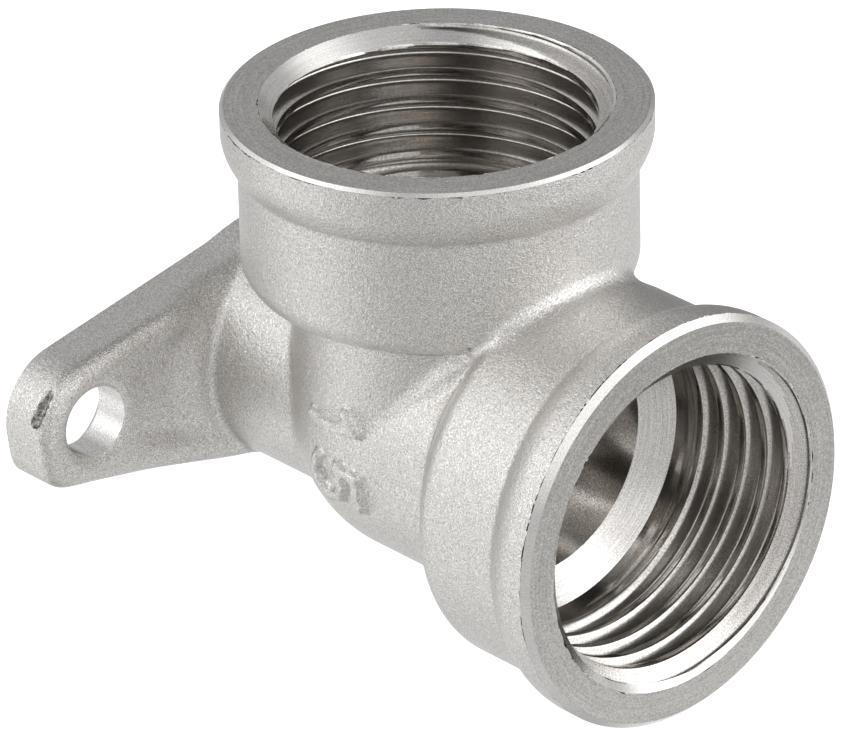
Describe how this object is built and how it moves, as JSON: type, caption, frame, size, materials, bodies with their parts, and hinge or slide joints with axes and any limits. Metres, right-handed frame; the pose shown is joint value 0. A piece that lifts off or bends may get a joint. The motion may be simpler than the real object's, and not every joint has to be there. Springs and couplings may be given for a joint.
{
  "type": "wall plate elbow",
  "caption": "Right-angle female threaded pipe elbow with a round boss and a wall plate with two screw ears.",
  "frame": {"origin": "centre of the flat wall face, on the axis of the front socket", "axes": "+Z out of the top socket, -Y out of the front socket, away from the wall, and X along the two screw ears"},
  "size_m": [0.0402, 0.0376, 0.0334],
  "materials": {
    "plated_brass": "satin nickel plating on blasted forged brass, bright on the machined faces"
  },
  "bodies": {
    "root": {"elbow_body": "plated_brass"}
  },
  "joints": []
}
